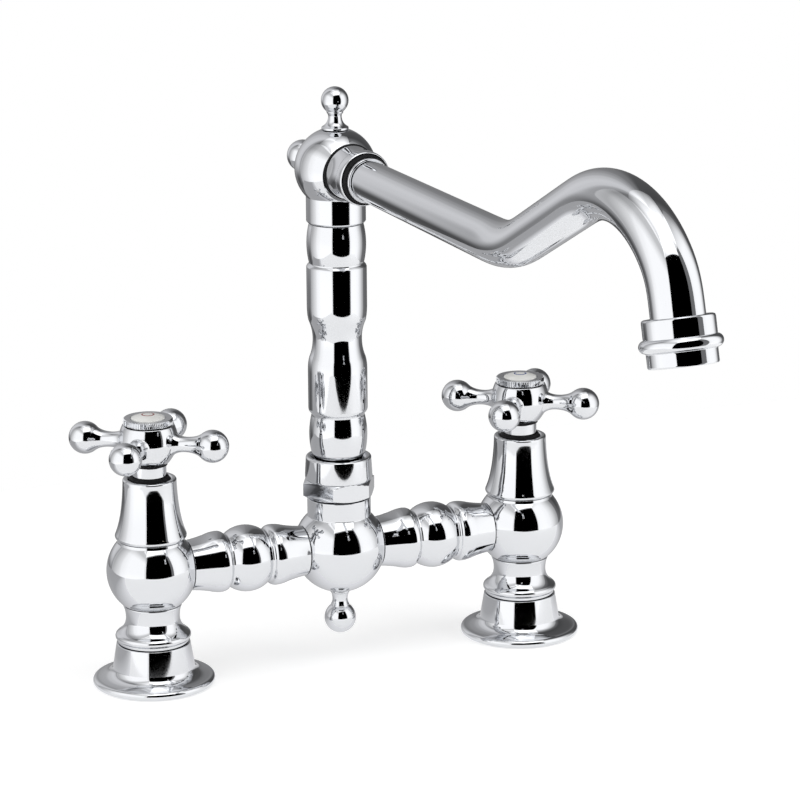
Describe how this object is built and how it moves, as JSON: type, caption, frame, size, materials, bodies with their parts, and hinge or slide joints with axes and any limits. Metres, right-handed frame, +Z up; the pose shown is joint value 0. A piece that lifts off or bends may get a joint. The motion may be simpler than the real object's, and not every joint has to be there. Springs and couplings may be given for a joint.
{
  "type": "bridge kitchen faucet",
  "caption": "Deck-mounted bridge faucet with turned pillars, cross handles, a turned riser and a long swivelling swan spout.",
  "frame": {"origin": "the point on the deck midway between the two pillar axes, under the riser", "axes": "+Z up along the riser and pillars; +X along the bridge towards the cold pillar; -Y is the front, where the spout reaches out"},
  "size_m": [0.2416, 0.3438, 0.2684],
  "materials": {
    "chrome": "polished chrome plate on brass",
    "brass": "machined brass",
    "steel": "plain stainless steel",
    "rubber": "matte black rubber",
    "disc_ceramic": "lapped ceramic",
    "porcelain": "glazed white porcelain",
    "acetal": "natural acetal"
  },
  "bodies": {
    "body": {"base_gasket_hot": "rubber", "base_flange_hot": "chrome", "inlet_socket_hot": "brass", "pedestal_hot": "chrome", "valve_body_hot": "chrome", "seat_seal_hot": "rubber", "fixed_disc_hot": "disc_ceramic", "cartridge_body_hot": "brass", "bonnet_hot": "chrome", "bridge_arm_hot": "chrome", "arm_seal_inner_hot": "rubber", "arm_seal_outer_hot": "rubber", "base_gasket_cold": "rubber", "base_flange_cold": "chrome", "inlet_socket_cold": "brass", "pedestal_cold": "chrome", "valve_body_cold": "chrome", "seat_seal_cold": "rubber", "fixed_disc_cold": "disc_ceramic", "cartridge_body_cold": "brass", "bonnet_cold": "chrome", "bridge_arm_cold": "chrome", "arm_seal_inner_cold": "rubber", "arm_seal_outer_cold": "rubber", "mixing_ball": "chrome", "bottom_finial": "chrome", "union_nut": "chrome", "thrust_ring": "acetal"},
    "spout": {"riser_column": "chrome", "riser_seal_lower": "rubber", "riser_seal_upper": "rubber", "spout_ball": "chrome", "top_finial": "chrome", "rear_finial": "chrome", "spout_collar": "chrome", "tube_seal": "rubber", "tube_ring": "chrome", "spout_tube": "chrome", "nozzle_shell": "chrome", "aerator_washer": "rubber", "aerator_housing": "brass", "aerator_screen": "steel"},
    "handle_hot": {"moving_disc_hot": "disc_ceramic", "spindle_hot": "brass", "handle_sleeve_hot": "chrome", "handle_cross_hot": "chrome", "handle_screw_hot": "steel", "index_ring_hot": "chrome", "index_button_hot": "porcelain"},
    "handle_cold": {"moving_disc_cold": "disc_ceramic", "spindle_cold": "brass", "handle_sleeve_cold": "chrome", "handle_cross_cold": "chrome", "handle_screw_cold": "steel", "index_ring_cold": "chrome", "index_button_cold": "porcelain"}
  },
  "joints": [
    {"name": "spout_swivel", "type": "hinge", "parent": "body", "child": "spout", "pos_m": [0, 0, 0.08], "axis": [0, 0, 1], "continuous": true},
    {"name": "hot_handle_turn", "type": "hinge", "parent": "body", "child": "handle_hot", "pos_m": [-0.09, 0, 0.08], "axis": [0, 0, 1], "range_deg": [0, 90]},
    {"name": "cold_handle_turn", "type": "hinge", "parent": "body", "child": "handle_cold", "pos_m": [0.09, 0, 0.08], "axis": [0, 0, 1], "range_deg": [-90, 0]}
  ]
}
